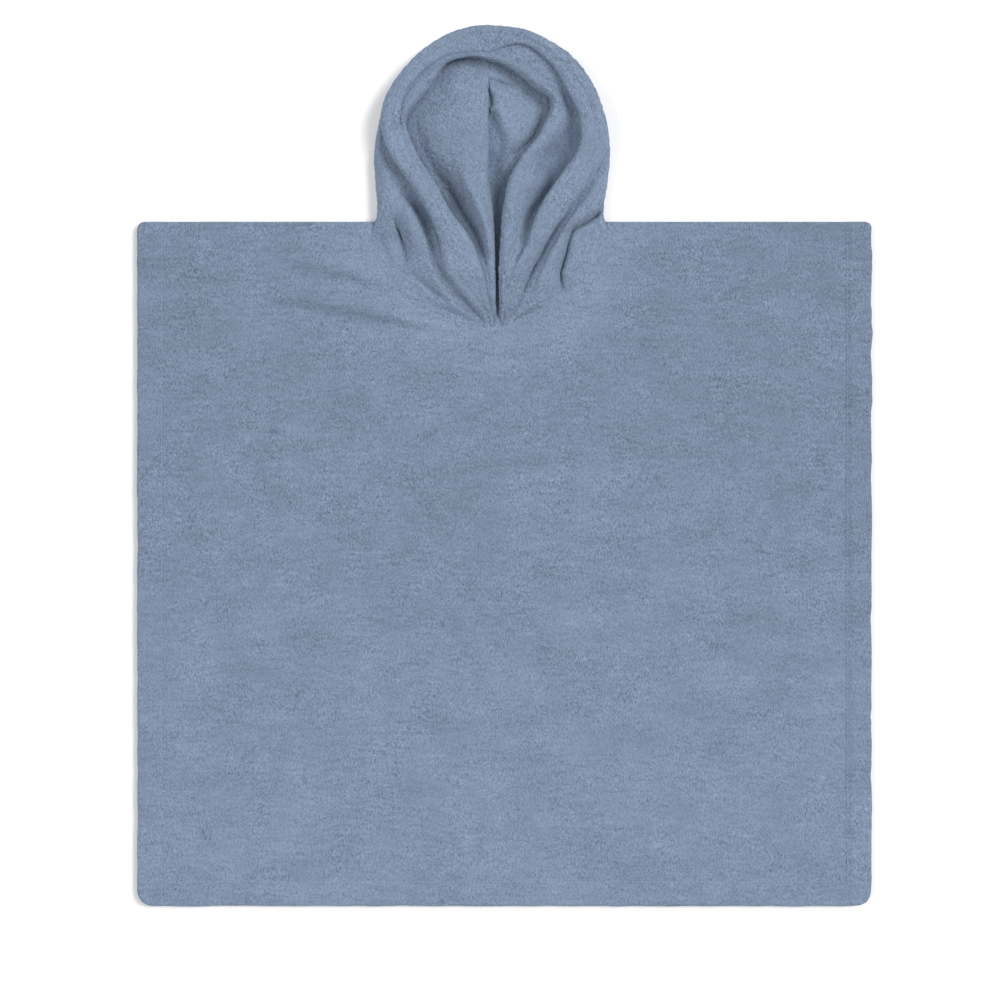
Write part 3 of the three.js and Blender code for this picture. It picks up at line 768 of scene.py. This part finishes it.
bpy.ops.object.select_all(action="DESELECT")
bpy.ops.mesh.primitive_uv_sphere_add(segments=6, ring_count=5, radius=1)
bpy.ops.transform.resize(value=(THREAD_RADIUS, THREAD_RADIUS, STITCH_LENGTH / 2))
bpy.ops.object.transform_apply(location=False, rotation=False, scale=True)
one_stitch = bpy.context.active_object
stitch_points = np.array([tuple(vertex.co) for vertex in one_stitch.data.vertices])
stitch_faces = [tuple(face.vertices) for face in one_stitch.data.polygons]
bpy.data.objects.remove(one_stitch)


def stitch_row(points, ups):
    """One stitch after another along a line that lies on the cloth."""
    lengths = np.linalg.norm(np.diff(points, axis=0), axis=1)
    run = np.concatenate([[0], np.cumsum(lengths)])
    placed = []
    for middle in np.arange(STITCH_PITCH, run[-1] - STITCH_PITCH, STITCH_PITCH):
        at = [np.interp(middle, run, points[:, k]) for k in range(3)]
        before = [np.interp(middle - STITCH_LENGTH / 2, run, points[:, k]) for k in range(3)]
        after = [np.interp(middle + STITCH_LENGTH / 2, run, points[:, k]) for k in range(3)]
        way = Vector(after) - Vector(before)
        up = Vector([np.interp(middle, run, ups[:, k]) for k in range(3)]).normalized()
        side = up.cross(way).normalized()
        axes = np.array([side, up, way.normalized()])
        placed.append(stitch_points @ axes + np.array(at))
    return placed


LINE_STOPS = 160
ABOVE_CLOTH = 50 * MM


def laid_line(start, end):
    """A line over the front, dropped onto its cloth, from its two ends in plan."""
    tree = bvhtree.BVHTree.FromPolygons([vertex.co for vertex in front.data.vertices],
                                        [face.vertices for face in front.data.polygons])
    points = []
    for share in np.linspace(0, 1, LINE_STOPS):
        x, y = np.array(start) * (1 - share) + np.array(end) * share
        hit = tree.ray_cast(Vector((x, y, ABOVE_CLOTH)), Vector((0, 0, -1)))
        points.append(tuple(hit[0]))
    return np.array(points), np.tile((0.0, 0.0, 1.0), (len(points), 1))


hem_left, hem_right = LEFT_SIDE + HEM_WIDTH, RIGHT_SIDE - HEM_WIDTH
hem_bottom = BOTTOM + HEM_WIDTH
line_top, line_end = SHOULDER - SHOULDER_MARGIN, BOTTOM + EDGE_MARGIN
hem_lines = [laid_line((hem_left, line_top), (hem_left, line_end)),
             laid_line((hem_right, line_top), (hem_right, line_end)),
             laid_line((LEFT_SIDE + EDGE_MARGIN, hem_bottom), (RIGHT_SIDE - EDGE_MARGIN, hem_bottom)),
             left_hem_line, right_hem_line]
stitches = [stitch for line in hem_lines for stitch in stitch_row(*line)]
count = len(stitch_points)
thread_mesh = bpy.data.meshes.new("hem_stitching")
thread_mesh.from_pydata(np.concatenate(stitches).tolist(), [],
                        [tuple(corner + count * k for corner in face)
                         for k in range(len(stitches)) for face in stitch_faces])
thread_mesh.shade_smooth()
thread = bpy.data.materials.new("hem_thread")
thread.use_nodes = True
thread_nodes, thread_links = thread.node_tree.nodes, thread.node_tree.links
thread_surface = thread_nodes["Principled BSDF"]
thread_surface.inputs["Roughness"].default_value = 0.6
twist = thread_nodes.new("ShaderNodeTexNoise")
twist.inputs["Scale"].default_value = 1 / TWIST_SIZE
shades = thread_nodes.new("ShaderNodeValToRGB")
shades.color_ramp.elements[0].color = THREAD_DARK
shades.color_ramp.elements[1].color = THREAD_PALE
thread_place = thread_nodes.new("ShaderNodeTexCoord")
thread_links.new(thread_place.outputs["Object"], twist.inputs["Vector"])
thread_links.new(twist.outputs["Fac"], shades.inputs["Fac"])
thread_links.new(shades.outputs["Color"], thread_surface.inputs["Base Color"])
thread_mesh.materials.append(thread)
hem_stitching = bpy.data.objects.new("hem_stitching", thread_mesh)
bpy.context.scene.collection.objects.link(hem_stitching)
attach(hem_stitching, "root")


# ---- Stage ------------------------------------------------------------------------------
# A pale seamless floor, a broad soft light from the upper right, a weaker one from the left and
# even light all round. The camera looks straight down on the garment.

FLOOR_WIDTH = 60

bpy.ops.object.select_all(action="DESELECT")
bpy.ops.mesh.primitive_plane_add(size=FLOOR_WIDTH, location=(0, 0, 0))
floor_plane = bpy.context.active_object
floor_plane.name = "pale_floor"
floor_material = bpy.data.materials.new("pale_floor")
floor_material.use_nodes = True
floor_surface = floor_material.node_tree.nodes["Principled BSDF"]
floor_surface.inputs["Base Color"].default_value = (0.87, 0.87, 0.87, 1)
floor_surface.inputs["Roughness"].default_value = 0.9
floor_plane.data.materials.append(floor_material)


def broad_light(name, place, power, spread):
    """Light from one side of the garment, even over all of it; spread is its angle in degrees."""
    lamp = bpy.data.lights.new(name, "SUN")
    lamp.energy = power
    lamp.angle = math.radians(spread)
    holder = bpy.data.objects.new(name, lamp)
    holder.location = place
    holder.rotation_euler = Vector(place).to_track_quat("Z", "Y").to_euler()
    bpy.context.scene.collection.objects.link(holder)


broad_light("key_light", (1.0, 0.45, 1.15), 2.95, 30)
broad_light("fill_light", (-1.1, -0.1, 1.0), 1.5, 40)
world = bpy.data.worlds.new("studio")
bpy.context.scene.world = world
world.use_nodes = True
world.node_tree.nodes["Background"].inputs["Color"].default_value = (1, 1, 1, 1)
world.node_tree.nodes["Background"].inputs["Strength"].default_value = 0.48

VIEW_WIDTH = 0.8163
VIEW_MIDDLE = (-0.0037, -0.0273)
VIEW_LEVEL = 0.006
lens = bpy.data.cameras.new("above")
lens.lens = 100
lens.sensor_width = 36
camera = bpy.data.objects.new("above", lens)
camera.location = (*VIEW_MIDDLE, VIEW_LEVEL + VIEW_WIDTH * lens.lens / lens.sensor_width)
bpy.context.scene.collection.objects.link(camera)
bpy.context.scene.camera = camera
bpy.context.scene.view_settings.view_transform = "Standard"
